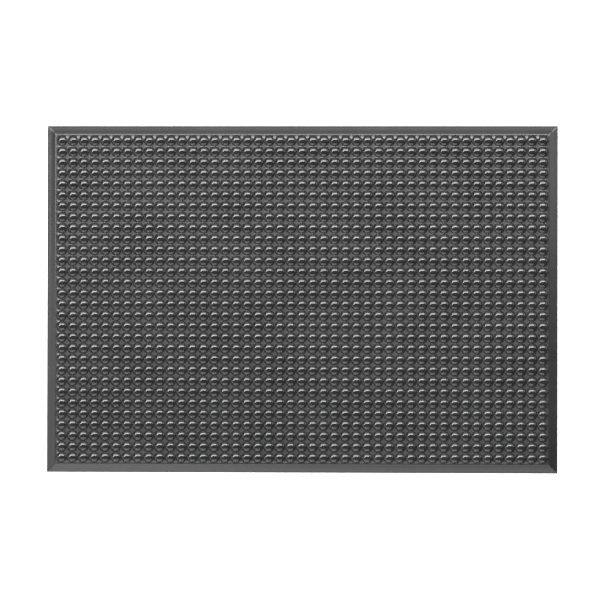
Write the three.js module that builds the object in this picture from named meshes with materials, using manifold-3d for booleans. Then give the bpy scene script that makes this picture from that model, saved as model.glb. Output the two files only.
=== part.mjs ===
// Domed rubber floor mat with ramp edging, in millimetres, +Z up.
// The origin is the centre of the underside: X runs along the mat, Y across it.
//
// Seven bonded pieces: a domed tread over a cushion core over a backing sheet, and four
// edging strips with mitred ends. Each strip holds on by a tongue that is bonded between
// the core and the backing.

import * as THREE from "three";
import { mergeGeometries, mergeVertices } from "three/addons/utils/BufferGeometryUtils.js";
import Module from "manifold-3d";

// ---- driving dimensions ----

const MAT_LENGTH = 900; // along X, over the edging
const DOME_PITCH = 19.25; // the same both ways
const DOME_COLUMNS = 45; // along X
const DOME_ROWS = 30; // along Y

const MAT_HEIGHT = 14; // floor to dome crest
const DOME_RISE = 3.6; // crest above the flat between the domes
const TREAD_BODY = 3.2; // solid rubber under the domes
const BACKING_THICK = 1.6;
const BOND_LINE = 0.3; // cement between two pieces

const TONGUE_REACH = 12; // how far an edging strip runs in under the core
const TONGUE_THICK = 2.4;

const RAMP_TOP = 9.8; // where the ramp meets the side of the field
const NOSE_HEIGHT = 3.1; // where the ramp turns down to the floor
const NOSE_REACH = 2.7;
const LIP_HEIGHT = 0.6; // upright edge of the nose
const RAMP_SAG = 0.55; // how far the ramp dips below a straight slope
const RAMP_STEPS = 6;
const NOSE_STEPS = 5;

// ---- worked out from them ----

const FIELD_LENGTH = DOME_COLUMNS * DOME_PITCH;
const FIELD_WIDTH = DOME_ROWS * DOME_PITCH;
const RAMP_WIDTH = (MAT_LENGTH - FIELD_LENGTH) / 2;

const FIELD_TOP = MAT_HEIGHT - DOME_RISE; // the flat between the domes
const TREAD_BOTTOM = FIELD_TOP - TREAD_BODY;
const CORE_TOP = TREAD_BOTTOM - BOND_LINE;
const CORE_BOTTOM = BACKING_THICK + BOND_LINE;
const TONGUE_TOP = CORE_BOTTOM + TONGUE_THICK;
const CORE_STEP = TONGUE_TOP + BOND_LINE; // underside of the core where it laps a tongue

const wasm = await Module();
wasm.setup();

// ---- joining and cutting ----

// A three.js geometry as a manifold-3d solid.
function solid(geometry) {
  const bare = geometry.clone();
  for (const name of Object.keys(bare.attributes)) {
    if (name !== "position") bare.deleteAttribute(name);
  }
  const merged = mergeVertices(bare, 1e-4);
  return new wasm.Manifold(
    new wasm.Mesh({
      numProp: 3,
      vertProperties: merged.attributes.position.array,
      triVerts: new Uint32Array(merged.index.array),
    }),
  );
}

// A manifold-3d solid back as a three.js geometry.
function geometryOf(made) {
  const mesh = made.getMesh();
  const geometry = new THREE.BufferGeometry();
  geometry.setAttribute("position", new THREE.BufferAttribute(mesh.vertProperties, 3));
  geometry.setIndex(new THREE.BufferAttribute(mesh.triVerts, 1));
  geometry.computeVertexNormals();
  return geometry;
}

function slab(length, width, bottom, top) {
  return new THREE.BoxGeometry(length, width, top - bottom).translate(0, 0, (bottom + top) / 2);
}

// ---- tread ----

// One dome: a pointed stud on a square the size of the pitch, open underneath.
function makeStud(column, row) {
  const cone = new THREE.ConeGeometry(DOME_PITCH / Math.SQRT2, DOME_RISE, 4, 1, true, Math.PI / 4);
  return cone
    .rotateX(Math.PI / 2)
    .translate(
      (column - (DOME_COLUMNS - 1) / 2) * DOME_PITCH,
      (row - (DOME_ROWS - 1) / 2) * DOME_PITCH,
      FIELD_TOP + DOME_RISE / 2,
    );
}

// One upright side of the tread, with a corner wherever two studs meet.
function makeTreadSide(run, studs, distance, turn) {
  const side = new THREE.PlaneGeometry(run, TREAD_BODY, studs, 1);
  return side
    .rotateX(Math.PI / 2)
    .translate(0, -distance, TREAD_BOTTOM + TREAD_BODY / 2)
    .rotateZ(turn);
}

function makeTread() {
  const skin = [];
  for (let column = 0; column < DOME_COLUMNS; column++) {
    for (let row = 0; row < DOME_ROWS; row++) skin.push(makeStud(column, row));
  }
  for (const turn of [0, Math.PI]) {
    skin.push(makeTreadSide(FIELD_LENGTH, DOME_COLUMNS, FIELD_WIDTH / 2, turn));
    skin.push(makeTreadSide(FIELD_WIDTH, DOME_ROWS, FIELD_LENGTH / 2, turn + Math.PI / 2));
  }
  const underside = new THREE.PlaneGeometry(FIELD_LENGTH, FIELD_WIDTH, DOME_COLUMNS, DOME_ROWS);
  skin.push(underside.rotateX(Math.PI).translate(0, 0, TREAD_BOTTOM));
  return geometryOf(solid(mergeGeometries(skin)).simplify());
}

// ---- core and backing ----

// The core is stepped all round its underside, where the tongues come in.
function makeCore() {
  const lap = 2 * (TONGUE_REACH + BOND_LINE);
  const upper = solid(slab(FIELD_LENGTH, FIELD_WIDTH, CORE_STEP, CORE_TOP));
  const lower = solid(slab(FIELD_LENGTH - lap, FIELD_WIDTH - lap, CORE_BOTTOM, CORE_STEP));
  return geometryOf(upper.add(lower));
}

function makeBacking() {
  return slab(FIELD_LENGTH, FIELD_WIDTH, 0, BACKING_THICK);
}

// ---- edging ----

// Section of the edging. Its first axis runs out from the edge of the domed field.
function edgingSection() {
  const section = new THREE.Shape();
  section.moveTo(BOND_LINE, 0);
  section.lineTo(RAMP_WIDTH, 0);
  section.lineTo(RAMP_WIDTH, LIP_HEIGHT);
  addNose(section);
  addRamp(section);
  section.lineTo(BOND_LINE, TONGUE_TOP);
  section.lineTo(-TONGUE_REACH, TONGUE_TOP);
  section.lineTo(-TONGUE_REACH, CORE_BOTTOM);
  section.lineTo(BOND_LINE, CORE_BOTTOM);
  return section;
}

// The nose is a quarter of an ellipse, from the lip up to the foot of the ramp.
function addNose(section) {
  for (let step = 1; step <= NOSE_STEPS; step++) {
    const turn = (step / NOSE_STEPS) * (Math.PI / 2);
    section.lineTo(
      RAMP_WIDTH - NOSE_REACH * (1 - Math.cos(turn)),
      LIP_HEIGHT + (NOSE_HEIGHT - LIP_HEIGHT) * Math.sin(turn),
    );
  }
}

// The ramp climbs from the nose to the edge of the field, dipping a little below a straight slope.
function addRamp(section) {
  const foot = RAMP_WIDTH - NOSE_REACH;
  for (let step = 1; step <= RAMP_STEPS; step++) {
    const share = step / RAMP_STEPS;
    section.lineTo(
      foot + (BOND_LINE - foot) * share,
      NOSE_HEIGHT + (RAMP_TOP - NOSE_HEIGHT) * share - RAMP_SAG * Math.sin(Math.PI * share),
    );
  }
}

// Plan of one strip that lies along X on the far side of the field, with both ends cut at 45 degrees.
function mitredPlan(fieldRun, fieldEdge) {
  const inner = fieldEdge - TONGUE_REACH;
  const outer = fieldEdge + RAMP_WIDTH;
  const half = fieldRun / 2 - BOND_LINE / Math.SQRT2;
  const plan = new THREE.Shape();
  plan.moveTo(-(half - TONGUE_REACH), inner);
  plan.lineTo(half - TONGUE_REACH, inner);
  plan.lineTo(half + RAMP_WIDTH, outer);
  plan.lineTo(-(half + RAMP_WIDTH), outer);
  return plan;
}

// A strip for the side of the field that is fieldRun long and fieldEdge from the middle.
function makeEdging(fieldRun, fieldEdge) {
  const run = fieldRun + 2 * RAMP_WIDTH;
  const bar = new THREE.ExtrudeGeometry(edgingSection(), { depth: run, bevelEnabled: false });
  bar.translate(0, 0, -run / 2);
  bar.rotateX(Math.PI / 2).rotateZ(Math.PI / 2); // the section's first axis now points along +Y
  bar.translate(0, fieldEdge, 0);
  const cutter = new THREE.ExtrudeGeometry(mitredPlan(fieldRun, fieldEdge), {
    depth: MAT_HEIGHT,
    bevelEnabled: false,
  });
  return geometryOf(solid(bar).intersect(solid(cutter)));
}

// ---- materials ----

function rubber(color, roughness) {
  return new THREE.MeshStandardMaterial({ color, roughness, metalness: 0 });
}

const treadRubber = rubber(0x3d3d3e, 0.42);
const edgingRubber = rubber(0x454546, 0.48);
const coreRubber = rubber(0x2b2b2c, 0.9);
const backingRubber = rubber(0x303031, 0.75);

// ---- assembly ----

const mat = new THREE.Group();

function addPiece(name, geometry, material, turn = 0) {
  const mesh = new THREE.Mesh(geometry, material);
  mesh.name = name;
  mesh.rotation.z = turn;
  mat.add(mesh);
}

addPiece("domed_tread", makeTread(), treadRubber);
addPiece("cushion_core", makeCore(), coreRubber);
addPiece("backing_sheet", makeBacking(), backingRubber);

const longEdging = makeEdging(FIELD_LENGTH, FIELD_WIDTH / 2);
const shortEdging = makeEdging(FIELD_WIDTH, FIELD_LENGTH / 2);
addPiece("rear_edging", longEdging, edgingRubber);
addPiece("front_edging", longEdging, edgingRubber, Math.PI);
addPiece("left_edging", shortEdging, edgingRubber, Math.PI / 2);
addPiece("right_edging", shortEdging, edgingRubber, -Math.PI / 2);

export default mat;
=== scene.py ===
# %% [markdown]
# # A domed rubber floor mat
# The mat is about 900 mm long, 611 mm wide and 14 mm thick. It is built as a sandwich of a domed
# tread, a cushion core and a backing sheet, with a sloping strip bonded on along each side.
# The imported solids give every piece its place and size. Here the tread and the four strips are
# modelled again with their round domes and soft edges. The core and the backing are plain flat
# slabs that the other pieces cover, so they keep their solids and only get a finish.

import math

import bmesh
import bpy
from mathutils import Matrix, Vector


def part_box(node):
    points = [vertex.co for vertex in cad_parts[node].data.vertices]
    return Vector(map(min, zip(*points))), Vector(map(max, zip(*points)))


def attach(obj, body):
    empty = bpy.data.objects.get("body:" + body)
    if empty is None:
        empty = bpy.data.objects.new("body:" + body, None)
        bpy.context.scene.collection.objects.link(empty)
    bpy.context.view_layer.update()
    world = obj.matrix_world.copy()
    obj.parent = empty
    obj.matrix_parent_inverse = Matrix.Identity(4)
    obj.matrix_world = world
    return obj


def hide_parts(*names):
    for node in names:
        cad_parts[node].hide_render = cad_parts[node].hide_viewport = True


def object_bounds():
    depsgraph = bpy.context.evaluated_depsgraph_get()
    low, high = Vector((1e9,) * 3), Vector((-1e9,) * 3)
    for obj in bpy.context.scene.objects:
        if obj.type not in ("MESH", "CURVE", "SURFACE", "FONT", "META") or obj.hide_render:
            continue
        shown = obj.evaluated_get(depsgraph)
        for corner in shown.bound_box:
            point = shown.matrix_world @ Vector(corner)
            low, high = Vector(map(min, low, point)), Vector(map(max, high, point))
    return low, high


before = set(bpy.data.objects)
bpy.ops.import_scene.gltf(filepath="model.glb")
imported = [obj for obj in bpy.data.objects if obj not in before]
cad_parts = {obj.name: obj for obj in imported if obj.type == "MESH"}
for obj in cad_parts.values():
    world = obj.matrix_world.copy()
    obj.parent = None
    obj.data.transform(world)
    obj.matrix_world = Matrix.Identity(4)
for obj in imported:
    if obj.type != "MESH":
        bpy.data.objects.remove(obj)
solid_box = [list(corner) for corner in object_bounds()]
print("solids' box", solid_box)

# %% [markdown]
# ## Measures
# The tread's solid says where the field of domes lies and how high the crests are. The field
# holds 45 domes along and 30 across, so its length over 45 is the dome pitch. Every other
# measure of a dome is a share of the pitch, which keeps its shape true at any size.

# %% Measures of the field
COLUMNS = 45
ROWS = 30
FIELD_LOW, FIELD_HIGH = (Vector(corner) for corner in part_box("domed_tread"))
PITCH = (FIELD_HIGH.x - FIELD_LOW.x) / COLUMNS
CREST = FIELD_HIGH.z
LAND_DEPTH = 0.192  # of the narrow flat between domes, below the crest, in pitches
LAND = CREST - LAND_DEPTH * PITCH
print(f"pitch {PITCH * 1000:.2f} mm, crest at {CREST * 1000:.1f} mm, land at {LAND * 1000:.1f} mm")

# %% [markdown]
# ## Helpers for modelling
# Edit mode works on what is selected, so each step first picks its vertices, edges or faces by
# where they are. `pick` does that with a test on each part's middle, and `edit` opens one
# object for editing with nothing else selected. `finish_shape` merges doubles, turns the faces
# outwards, smooths every fold that is flatter than a given angle, and counts what isn't closed.

# %% Selecting and editing
MM = 0.001


def edit(piece):
    if bpy.context.mode != "OBJECT":
        bpy.ops.object.mode_set(mode="OBJECT")
    bpy.ops.object.select_all(action="DESELECT")
    piece.select_set(True)
    bpy.context.view_layer.objects.active = piece
    bpy.ops.object.mode_set(mode="EDIT")


def pick(kind, test):
    bpy.ops.mesh.select_mode(type=kind)
    bpy.ops.mesh.select_all(action="DESELECT")
    shell = bmesh.from_edit_mesh(bpy.context.object.data)
    parts = {"VERT": shell.verts, "EDGE": shell.edges, "FACE": shell.faces}[kind]
    count = 0
    for part in parts:
        if kind == "VERT":
            middle = part.co
        elif kind == "EDGE":
            middle = (part.verts[0].co + part.verts[1].co) / 2
        else:
            middle = part.calc_center_median()
        if test(part, middle):
            part.select_set(True)
            count += 1
    shell.select_flush_mode()
    bmesh.update_edit_mesh(bpy.context.object.data)
    return count


def near(value, target, slack=0.02 * MM):
    return abs(value - target) < slack


def settle(name):
    """Names the new primitive, and puts its place and size into its mesh."""
    piece = bpy.context.object
    piece.name = name
    piece.data.name = name
    bpy.ops.object.transform_apply(location=True, rotation=True, scale=True)
    return piece


def finish_shape(piece, angle):
    edit(piece)
    bpy.ops.mesh.select_all(action="SELECT")
    bpy.ops.mesh.remove_doubles(threshold=0.005 * MM)
    bpy.ops.mesh.normals_make_consistent(inside=False)
    bpy.ops.object.mode_set(mode="OBJECT")
    bpy.ops.object.shade_smooth_by_angle(angle=math.radians(angle))
    shell = bmesh.new()
    shell.from_mesh(piece.data)
    open_edges = sum(1 for edge in shell.edges if not edge.is_manifold)
    volume = shell.calc_volume() * 1e6
    print(f"{piece.name}: {len(shell.faces)} faces, {open_edges} open edges, {volume:.0f} ml")
    shell.free()


# %% [markdown]
# ## One dome
# A dome is a shallow round cap with a wide crown and steep flanks, on its own square of land.
# It could be a scaled sphere, but a sphere's rings are in the wrong places for this flat a cap.
# So a ring of sixteen corners is drawn at the foot and extruded inwards and upwards ring by
# ring along the dome's profile, and then poked to a crown. The field repeats the dome 1350
# times, so it is kept to 64 faces with its land.

# %% Draw the foot and raise the rings
CORNERS = 16
# (radius, depth below the crest), both in pitches, from the foot to the last ring
DOME_RINGS = [(0.482, 0.184), (0.410, 0.115), (0.215, 0.030)]
first_dome = Vector((FIELD_LOW.x + PITCH / 2, FIELD_LOW.y + PITCH / 2, CREST))
foot_radius, foot_depth = DOME_RINGS[0]
foot_level = CREST - foot_depth * PITCH

bpy.ops.object.select_all(action="DESELECT")
bpy.ops.mesh.primitive_circle_add(
    vertices=CORNERS,
    radius=foot_radius * PITCH,
    location=(first_dome.x, first_dome.y, foot_level),
)
tread = settle("round_domed_tread")
edit(tread)
bpy.ops.mesh.select_all(action="SELECT")
radius, depth = DOME_RINGS[0]
for next_radius, next_depth in DOME_RINGS[1:]:
    bpy.ops.mesh.extrude_region_move(
        TRANSFORM_OT_translate={"value": (0, 0, (depth - next_depth) * PITCH)}
    )
    bpy.ops.transform.resize(value=(next_radius / radius, next_radius / radius, 1))
    radius, depth = next_radius, next_depth
bpy.ops.mesh.edge_face_add()
bpy.ops.mesh.poke()
pick("VERT", lambda vert, at: near(at.x, first_dome.x) and near(at.y, first_dome.y))
bpy.ops.transform.translate(value=(0, 0, depth * PITCH))
print("dome so far:", len(bmesh.from_edit_mesh(tread.data).faces), "faces")

# %% [markdown]
# The square of land comes next. A plane the size of the pitch is cut into four each way, which
# puts sixteen corners on its outline, one to each corner of the dome's foot. Its inside is
# deleted, and the outline is bridged to the foot. The foot is marked sharp, so that smooth
# shading leaves the land flat and the fold crisp.

# %% Bridge the dome to its square of land
bpy.ops.mesh.select_all(action="DESELECT")
bpy.ops.mesh.primitive_plane_add(size=PITCH, location=(first_dome.x, first_dome.y, LAND))
bpy.ops.mesh.subdivide(number_cuts=3)


def inside_square(at):
    reach = max(abs(at.x - first_dome.x), abs(at.y - first_dome.y))
    return near(at.z, LAND) and not near(reach, PITCH / 2)


def on_foot(edge):
    return all(near(end.co.z, foot_level) for end in edge.verts)


pick("VERT", lambda vert, at: inside_square(at))
bpy.ops.mesh.delete(type="VERT")
pick("EDGE", lambda edge, at: edge.is_wire or edge.is_boundary)
bpy.ops.mesh.bridge_edge_loops()
pick("EDGE", lambda edge, at: on_foot(edge))
bpy.ops.mesh.mark_sharp()
print("dome on its land:", len(bmesh.from_edit_mesh(tread.data).faces), "faces")

# %% [markdown]
# ## The field
# Two Array modifiers repeat the dome along and across, and merge the squares where they meet.
# Copies placed by hand would do as well, but the modifiers also join them into one sheet. At
# the rim of the field the land dips to the rounded top of the edging strips, so the outer
# domes run straight down into the slope. The rim is then extruded down to the tread's
# underside and closed.

# %% Repeat the dome
bpy.ops.object.mode_set(mode="OBJECT")
for name, count, step in (("along", COLUMNS, (PITCH, 0, 0)), ("across", ROWS, (0, PITCH, 0))):
    array = tread.modifiers.new(name, "ARRAY")
    array.count = count
    array.use_relative_offset = False
    array.use_constant_offset = True
    array.constant_offset_displace = step
    array.use_merge_vertices = True
    array.merge_threshold = 0.01 * MM
    bpy.ops.object.modifier_apply(modifier=name)
print("field:", len(tread.data.polygons), "faces")

# %% Close the tread
RAMP_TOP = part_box("rear_edging")[1][2]
SHOULDER = 2.2 * MM  # width of the rounding at the top of the slope
SHOULDER_SLOPE = 0.50  # how steep the slope is where that rounding starts
SHOULDER_DROP = SHOULDER_SLOPE * SHOULDER / 2
RIM = RAMP_TOP - SHOULDER_DROP
TREAD_CREASE = 50  # degrees: a fold sharper than this stays crisp
edit(tread)
rim = pick("EDGE", lambda edge, at: edge.is_boundary)
bpy.ops.transform.translate(value=(0, 0, RIM - LAND))
bpy.ops.mesh.extrude_region_move(TRANSFORM_OT_translate={"value": (0, 0, FIELD_LOW.z - RIM)})
bpy.ops.mesh.edge_face_add()
print("rim edges", rim)
finish_shape(tread, TREAD_CREASE)
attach(tread, "root")
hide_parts("domed_tread")

# %% [markdown]
# ## The edging
# Each strip is a long wedge with a slightly hollow slope, a rounded top and nose, and a tongue
# that reaches in under the core. It could be an outline that is extruded along the side. Here a
# block of the strip's full size is the start, so that each feature is a step of its own. The
# block's top outer edge is dropped to make the wedge, and the nose is rounded with a bevel. The
# slope is cut lengthwise, and only then are the cuts lowered, because a cut through a slope that
# has been lowered starts too low. The tongue is pulled out of the inner face. Last, both ends
# are cut at 45 degrees, and a small chamfer is taken off each hip, where two slopes meet.

# %% Model one strip that lies along X on the rear side
NOSE_HEIGHT = 2.2 * MM  # of the outer edge, before it is rounded
NOSE_ROUND = 1.7 * MM
NOSE_SEGMENTS = 5
SAG = 0.45 * MM  # how far the slope dips in its middle
HOLLOW_STEPS = 5
SHOULDER_CUTS = (0.7, 0.4, 0.15)  # shares of the rounding's width
TOP_LOWEST = 1 * MM  # everything on top of a strip is above this
TONGUE_REACH = 12 * MM
TONGUE_BOTTOM = 1.9 * MM
TONGUE_TOP = 4.3 * MM
BOND = 0.12 * MM  # gap to the tread
# (distance in from the mitre, depth taken off there), from the mitre inwards
HIP_CUTS = ((0, 0.42 * MM), (1.15 * MM, 0.035 * MM), (1.6 * MM, 0))
HIP_LOWEST = 1.8 * MM  # below this the nose keeps its shape
STRIP_CREASE = 28  # degrees
OUTER = Vector(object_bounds()[1])
RAMP = OUTER.x - FIELD_HIGH.x


def wedge(field_end, field_side, name):
    inner, outer, end = field_side + BOND, field_side + RAMP, field_end + RAMP
    bpy.ops.object.select_all(action="DESELECT")
    bpy.ops.mesh.primitive_cube_add(
        size=1,
        location=(0, (inner + outer) / 2, RAMP_TOP / 2),
        scale=(2 * end, outer - inner, RAMP_TOP),
    )
    strip = settle(name)
    edit(strip)
    pick("EDGE", lambda edge, at: near(at.y, outer) and near(at.z, RAMP_TOP))
    bpy.ops.transform.translate(value=(0, 0, NOSE_HEIGHT - RAMP_TOP))
    bpy.ops.mesh.bevel(offset=NOSE_ROUND, segments=NOSE_SEGMENTS, affect="EDGES")
    return strip, inner, outer


def cut_along(places):
    """Cuts the strip lengthwise at each distance out from the middle of the mat."""
    for at_y in places:
        bpy.ops.mesh.select_all(action="SELECT")
        bpy.ops.mesh.bisect(plane_co=(0, at_y, 0), plane_no=(0, 1, 0))


def lower(at_y, sink):
    """Lowers the line of the top that runs along at_y."""
    pick("VERT", lambda vert, at: near(at.y, at_y) and at.z > TOP_LOWEST)
    bpy.ops.transform.translate(value=(0, 0, -sink))


def ease_slope(inner, outer):
    """Hollows the slope a little and rounds its top over, so that it meets the tread level."""
    foot = outer - NOSE_ROUND
    brow = inner + SHOULDER
    hollow_shares = [step / HOLLOW_STEPS for step in range(1, HOLLOW_STEPS)]
    hollow = {share: foot + (brow - foot) * share for share in hollow_shares}
    rounding = {share: inner + share * SHOULDER for share in SHOULDER_CUTS}
    cut_along([*hollow.values(), *rounding.values(), brow])
    for share, at_y in hollow.items():
        lower(at_y, SAG * math.sin(math.pi * share))
    for share, at_y in rounding.items():
        lower(at_y, SHOULDER_DROP * (1 - share) ** 2)
    lower(inner, SHOULDER_DROP)


def tongue(inner):
    for level in (TONGUE_BOTTOM, TONGUE_TOP):
        bpy.ops.mesh.select_all(action="SELECT")
        bpy.ops.mesh.bisect(plane_co=(0, 0, level), plane_no=(0, 0, 1))
    middle = (TONGUE_BOTTOM + TONGUE_TOP) / 2
    pick("FACE", lambda face, at: near(at.y, inner) and near(at.z, middle))
    bpy.ops.mesh.extrude_region_move(
        TRANSFORM_OT_translate={"value": (0, -TONGUE_REACH - BOND, 0)}
    )


def mitre(field_end, field_side):
    """Cuts both ends at 45 degrees, and chamfers the hips where the slope meets the next strips'."""
    for side in (-1, 1):
        facing = Vector((side, -1, 0)).normalized()
        corner = Vector((side * (field_end - BOND / math.sqrt(2)), field_side, 0))
        bpy.ops.mesh.select_all(action="SELECT")
        bpy.ops.mesh.bisect(plane_co=corner, plane_no=facing, clear_outer=True, use_fill=True)
        for inset, _ in HIP_CUTS[1:]:
            bpy.ops.mesh.select_all(action="SELECT")
            bpy.ops.mesh.bisect(plane_co=corner - facing * inset, plane_no=facing)
        for inset, sink in HIP_CUTS:
            cut = corner - facing * inset
            pick(
                "VERT",
                lambda vert, at: near((at - cut).dot(facing), 0)
                and at.y > field_side
                and at.z > HIP_LOWEST,
            )
            bpy.ops.transform.translate(value=(0, 0, -sink))


def model_strip(name, field_end, field_side):
    strip, inner, outer = wedge(field_end, field_side, name)
    ease_slope(inner, outer)
    tongue(inner)
    mitre(field_end, field_side)
    bpy.ops.object.mode_set(mode="OBJECT")
    return strip


rear = model_strip("rear_ramp_strip", FIELD_HIGH.x, FIELD_HIGH.y)
left = model_strip("left_ramp_strip", FIELD_HIGH.y, FIELD_HIGH.x)
print("strips drawn:", len(rear.data.polygons), "and", len(left.data.polygons), "faces")

# %% [markdown]
# The front strip is the rear one turned half round, and the right strip is the left one turned
# half round. Each copy gets its own mesh. The turn is applied, so every strip's object ends at
# the origin with its place in its mesh.

# %% Turn the strips to their sides
def turned(strip, degrees, name=None):
    bpy.ops.object.select_all(action="DESELECT")
    strip.select_set(True)
    bpy.context.view_layer.objects.active = strip
    if name:
        bpy.ops.object.duplicate(linked=False)
        strip = bpy.context.object
        strip.name = name
        strip.data.name = name
    strip.rotation_euler.z = math.radians(degrees)
    bpy.ops.object.transform_apply(location=True, rotation=True, scale=True)
    return strip


front = turned(rear, 180, "front_ramp_strip")
right = turned(left, -90, "right_ramp_strip")
left = turned(left, 90)
for strip, node in (
    (rear, "rear_edging"),
    (front, "front_edging"),
    (left, "left_edging"),
    (right, "right_edging"),
):
    finish_shape(strip, STRIP_CREASE)
    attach(strip, "root")
    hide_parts(node)

# %% [markdown]
# ## Finishes
# All the rubber is black, but it isn't one flat black. Moulded rubber has a fine grain from the
# mould, a faint bloom that greys it in soft patches, and dust where nothing wipes it off. The
# grain and the bloom are shared by all the finishes, so each is a node group that is built once.

# %% Node helpers
def node(tree, kind, values=(), **settings):
    made = tree.nodes.new(kind)
    for name, value in settings.items():
        setattr(made, name, value)
    for socket, value in dict(values).items():
        made.inputs[socket].default_value = value
    return made


def wire(tree, *ends):
    for source, target in ends:
        tree.links.new(source, target)


def new_group(name, inputs, outputs):
    tree = bpy.data.node_groups.new(name, "ShaderNodeTree")
    for label, value in inputs.items():
        kind = "NodeSocketColor" if isinstance(value, tuple) else "NodeSocketFloat"
        tree.interface.new_socket(name=label, in_out="INPUT", socket_type=kind).default_value = value
    for label, kind in outputs.items():
        tree.interface.new_socket(name=label, in_out="OUTPUT", socket_type=kind)
    return tree, tree.nodes.new("NodeGroupInput"), tree.nodes.new("NodeGroupOutput")


def math_node(tree, operation, first, second=0.0, third=None):
    made = node(tree, "ShaderNodeMath", operation=operation)
    for index, value in enumerate((first, second, third)):
        if value is None:
            continue
        if isinstance(value, (int, float)):
            made.inputs[index].default_value = value
        else:
            tree.links.new(value, made.inputs[index])
    return made.outputs[0]


# %% Mould grain and bloom
SPECK_HEIGHT = 0.6  # beside a pebble's height of 1


def grain_group():
    tree, given, result = new_group(
        "mould_grain",
        {"Coarse": 420.0, "Fine": 1500.0},
        {"Height": "NodeSocketFloat"},
    )
    place = node(tree, "ShaderNodeTexCoord")
    pebble = node(tree, "ShaderNodeTexVoronoi", {"Randomness": 1.0}, feature="SMOOTH_F1")
    specks = node(tree, "ShaderNodeTexNoise", {"Detail": 3.0, "Roughness": 0.6})
    wire(
        tree,
        (place.outputs["Object"], pebble.inputs["Vector"]),
        (place.outputs["Object"], specks.inputs["Vector"]),
        (given.outputs["Coarse"], pebble.inputs["Scale"]),
        (given.outputs["Fine"], specks.inputs["Scale"]),
    )
    fine, coarse = specks.outputs["Fac"], pebble.outputs["Distance"]
    height = math_node(tree, "MULTIPLY_ADD", fine, SPECK_HEIGHT, coarse)
    wire(tree, (height, result.inputs["Height"]))
    return tree


def bloom_group():
    tree, given, result = new_group(
        "rubber_bloom",
        {"Black": (0.02, 0.02, 0.02, 1), "Bloom": (0.04, 0.04, 0.042, 1), "Amount": 0.5},
        {"Color": "NodeSocketColor", "Mask": "NodeSocketFloat"},
    )
    place = node(tree, "ShaderNodeTexCoord")
    cloud = node(tree, "ShaderNodeTexNoise", {"Scale": 9.0, "Detail": 5.0, "Roughness": 0.62})
    spread = node(tree, "ShaderNodeMapRange", {"From Min": 0.35, "From Max": 0.72})
    mix = node(tree, "ShaderNodeMix", data_type="RGBA")
    wire(
        tree,
        (place.outputs["Object"], cloud.inputs["Vector"]),
        (cloud.outputs["Fac"], spread.inputs["Value"]),
        (given.outputs["Black"], mix.inputs["A"]),
        (given.outputs["Bloom"], mix.inputs["B"]),
        (mix.outputs["Result"], result.inputs["Color"]),
    )
    mask = math_node(tree, "MULTIPLY", spread.outputs["Result"], given.outputs["Amount"])
    wire(tree, (mask, mix.inputs["Factor"]), (mask, result.inputs["Mask"]))
    return tree


GRAIN = grain_group()
BLOOM = bloom_group()
print("shared effects:", GRAIN.name, "and", BLOOM.name)

# %% [markdown]
# The domes need one more effect. Feet polish the crowns, while the land between them keeps the
# mould's dull texture and catches dust. The place in a dome's own square says which is which:
# the Object position is folded back to one pitch, and its distance from the middle of the
# square is the distance from the crown.

# %% Distance from the nearest crown
def crown_group():
    tree, given, result = new_group(
        "crown_and_land",
        {"Pitch": PITCH},
        {"Land": "NodeSocketFloat"},
    )
    place = node(tree, "ShaderNodeTexCoord")
    split = node(tree, "ShaderNodeSeparateXYZ")
    wire(tree, (place.outputs["Object"], split.inputs[0]))
    squares = []
    for axis, low in (("X", FIELD_LOW.x), ("Y", FIELD_LOW.y)):
        along = math_node(tree, "SUBTRACT", split.outputs[axis], low)
        pitches = math_node(tree, "DIVIDE", along, given.outputs["Pitch"])
        offset = math_node(tree, "SUBTRACT", math_node(tree, "FRACT", pitches), 0.5)
        squares.append(math_node(tree, "MULTIPLY", offset, offset))
    distance = math_node(tree, "SQRT", math_node(tree, "ADD", *squares))
    land = node(
        tree,
        "ShaderNodeMapRange",
        {"From Min": 0.47, "From Max": 0.56},  # pitches from the crown, on either side of the foot
        interpolation_type="SMOOTHSTEP",
    )
    wire(
        tree,
        (distance, land.inputs["Value"]),
        (land.outputs["Result"], result.inputs["Land"]),
    )
    return tree


CROWN = crown_group()
print("effect for the domes:", CROWN.name)

# %% [markdown]
# Each rubber is the same recipe with its own values: a black, the grey of its bloom, how rough
# it is, and how coarse and deep its grain is. The tread adds dust and dullness on the land. An
# image of real rubber could give the same, but nodes stay sharp at any distance.

# %% Rubber finishes
BLOOM_AMOUNT = 0.5
BLOOM_ROUGHNESS = 0.12  # added where the bloom is thickest
DUST_GREY = (0.075, 0.073, 0.070, 1)
LAND_DUST = 0.20  # share of dust in the land's colour
LAND_ROUGHNESS = 0.20  # added on the land


def rubber(name, black, bloom, roughness, grain, grain_depth):
    """A black rubber with grain and bloom. Returns it with its tree, shader and two node ends."""
    material = bpy.data.materials.new(name)
    material.use_nodes = True
    tree = material.node_tree
    shader = tree.nodes["Principled BSDF"]
    shader.inputs["IOR"].default_value = 1.52
    cloud = node(tree, "ShaderNodeGroup", node_tree=BLOOM)
    cloud.inputs["Black"].default_value = (*black, 1)
    cloud.inputs["Bloom"].default_value = (*bloom, 1)
    cloud.inputs["Amount"].default_value = BLOOM_AMOUNT
    pores = node(tree, "ShaderNodeGroup", node_tree=GRAIN)
    pores.inputs["Coarse"].default_value = grain[0]
    pores.inputs["Fine"].default_value = grain[1]
    bump = node(tree, "ShaderNodeBump", {"Strength": 0.6, "Distance": grain_depth})
    wire(
        tree,
        (pores.outputs["Height"], bump.inputs["Height"]),
        (bump.outputs["Normal"], shader.inputs["Normal"]),
        (cloud.outputs["Color"], shader.inputs["Base Color"]),
    )
    rough = math_node(tree, "MULTIPLY_ADD", cloud.outputs["Mask"], BLOOM_ROUGHNESS, roughness)
    wire(tree, (rough, shader.inputs["Roughness"]))
    return material, tree, shader, cloud.outputs["Color"], rough


def dress(piece, material):
    piece.data.materials.clear()
    piece.data.materials.append(material)


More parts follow.
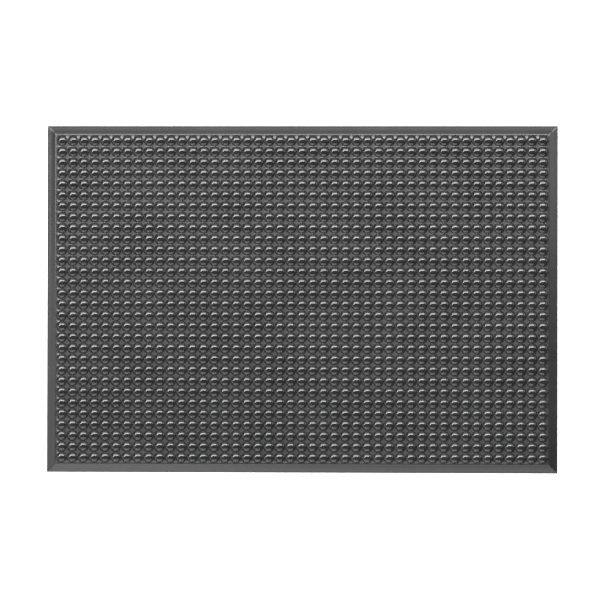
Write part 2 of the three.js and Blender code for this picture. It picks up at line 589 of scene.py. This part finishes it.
def tread_rubber():
    material, tree, shader, black, rough = rubber(
        "glossy_domed_rubber",
        black=(0.008, 0.008, 0.0083),
        bloom=(0.016, 0.016, 0.0165),
        roughness=0.12,
        grain=(500, 1800),
        grain_depth=0.012 * MM,
    )
    crown = node(tree, "ShaderNodeGroup", node_tree=CROWN)
    dust = node(tree, "ShaderNodeMix", {"B": DUST_GREY}, data_type="RGBA")
    amount = math_node(tree, "MULTIPLY", crown.outputs["Land"], LAND_DUST)
    dull = math_node(tree, "MULTIPLY_ADD", crown.outputs["Land"], LAND_ROUGHNESS, rough)
    wire(
        tree,
        (black, dust.inputs["A"]),
        (amount, dust.inputs["Factor"]),
        (dust.outputs["Result"], shader.inputs["Base Color"]),
        (dull, shader.inputs["Roughness"]),
    )
    return material


dress(tread, tread_rubber())
edging_rubber = rubber(
    "satin_edging_rubber",
    black=(0.009, 0.009, 0.0093),
    bloom=(0.018, 0.018, 0.0185),
    roughness=0.26,
    grain=(700, 2200),
    grain_depth=0.03 * MM,
)[0]
for strip in (rear, front, left, right):
    dress(strip, edging_rubber)
core_rubber = rubber(
    "sponge_core_rubber",
    black=(0.014, 0.014, 0.014),
    bloom=(0.024, 0.024, 0.024),
    roughness=0.85,
    grain=(900, 2600),
    grain_depth=0.08 * MM,
)[0]
backing_rubber = rubber(
    "grip_backing_rubber",
    black=(0.018, 0.018, 0.018),
    bloom=(0.032, 0.032, 0.033),
    roughness=0.68,
    grain=(620, 1900),
    grain_depth=0.05 * MM,
)[0]
dress(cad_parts["cushion_core"], core_rubber)
dress(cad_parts["backing_sheet"], backing_rubber)
print("finishes:", ", ".join(material.name for material in bpy.data.materials if material.users))

# %% [markdown]
# ## Floor, light and camera
# The mat lies on a plain white floor under soft studio panels, and the camera looks almost
# straight down on it. Black rubber has little colour of its own, so what shows is what it
# mirrors. Seen from above, a slope mirrors the panel that lies at twice its own tilt. The bright
# strips high over the rear and the left draw the crescents near the crowns, and the rear panel
# beyond them fades them out. The panels lower down on each side give the four slopes of the
# edging their tones, and the two patches light the rear hips.

# %% Floor
FLOOR_GAP = 0.2 * MM  # keeps the floor from flickering through the underside
bpy.ops.object.select_all(action="DESELECT")
bpy.ops.mesh.primitive_plane_add(size=14, location=(0, 0, solid_box[0][2] - FLOOR_GAP))
floor = bpy.context.object
floor.name = "studio_floor"
white = bpy.data.materials.new("white_floor")
white.use_nodes = True
white_shader = white.node_tree.nodes["Principled BSDF"]
white_shader.inputs["Base Color"].default_value = (0.93, 0.93, 0.93, 1)
white_shader.inputs["Roughness"].default_value = 0.9
white_shader.inputs["Specular IOR Level"].default_value = 0.1
white_shader.inputs["Emission Color"].default_value = (1, 1, 1, 1)
white_shader.inputs["Emission Strength"].default_value = 0.25
floor.data.materials.append(white)
print(f"floor at {floor.location.z * 1000:.1f} mm")

# %% Studio panels
def panel(name, place, size, glow, turn=0, aim=None):
    """A soft panel that faces down or towards aim. Its glow is 1 where it is as bright as the floor."""
    lamp = bpy.data.lights.new(name, "AREA")
    lamp.shape = "RECTANGLE"
    lamp.size, lamp.size_y = size
    lamp.energy = glow * math.pi * size[0] * size[1]
    holder = bpy.data.objects.new(name, lamp)
    bpy.context.collection.objects.link(holder)
    holder.location = place
    holder.rotation_euler.z = math.radians(turn)
    if aim:
        holder.rotation_euler = (Vector(aim) - Vector(place)).to_track_quat("-Z", "Y").to_euler()


panel("rear_strip", (0.25, 1.87, 4.0), (4.5, 0.82), 19)
panel("rear_panel", (-0.1, 2.75, 4.0), (6.6, 1.0), 7.8)
panel("left_strip", (-2.8, 1.1, 4.0), (2.3, 0.9), 21, turn=33)
panel("rear_left_patch", (-3.02, 2.66, 4.0), (1.1, 1.1), 20, turn=45)
panel("rear_right_patch", (2.82, 2.68, 4.0), (1.1, 1.1), 18, turn=45)
panel("far_rear_panel", (-0.2, 3.0, 2.0), (4.4, 1.7), 1.1, aim=(-0.2, 0.3, 0))
panel("far_left_panel", (-3.4, -1.0, 1.9), (3.0, 1.7), 1.5, aim=(-0.44, -1.0, 0))
panel("front_panel", (-0.3, -1.95, 2.0), (3.4, 1.2), 2.5)
panel("front_low_panel", (-0.2, -3.3, 1.9), (4.4, 1.3), 1.5, aim=(-0.2, -0.3, 0))
panel("front_left_panel", (-1.5, -3.2, 1.9), (2.4, 1.3), 1.4, aim=(-1.5, -0.3, 0))
panel("right_panel", (2.44, 1.0, 1.5), (1.62, 1.1), 2.3, aim=(0.44, 1.0, 0))
print("panels:", len(bpy.data.lights))

world = bpy.data.worlds.new("studio_air")
bpy.context.scene.world = world
world.use_nodes = True
air = world.node_tree.nodes["Background"]
air.inputs["Color"].default_value = (0.9, 0.92, 0.95, 1)
air.inputs["Strength"].default_value = 0.25

# %% [markdown]
# The camera hangs 4.5 m up with a long lens, so the view is nearly parallel. It stands a little
# off the middle of the mat and is tilted back towards it, by angles in degrees about X, Y and Z.

# %% Camera
lens = bpy.data.cameras.new("camera")
lens.lens = 153.2
lens.sensor_width = 36
camera = bpy.data.objects.new("camera", lens)
bpy.context.collection.objects.link(camera)
camera.location = (0.1072, -0.0389, 4.5)
camera.rotation_euler = [math.radians(angle) for angle in (0.480, 1.406, 0.114)]
bpy.context.scene.camera = camera
bpy.context.scene.view_settings.view_transform = "Standard"
print("camera at", list(camera.location))
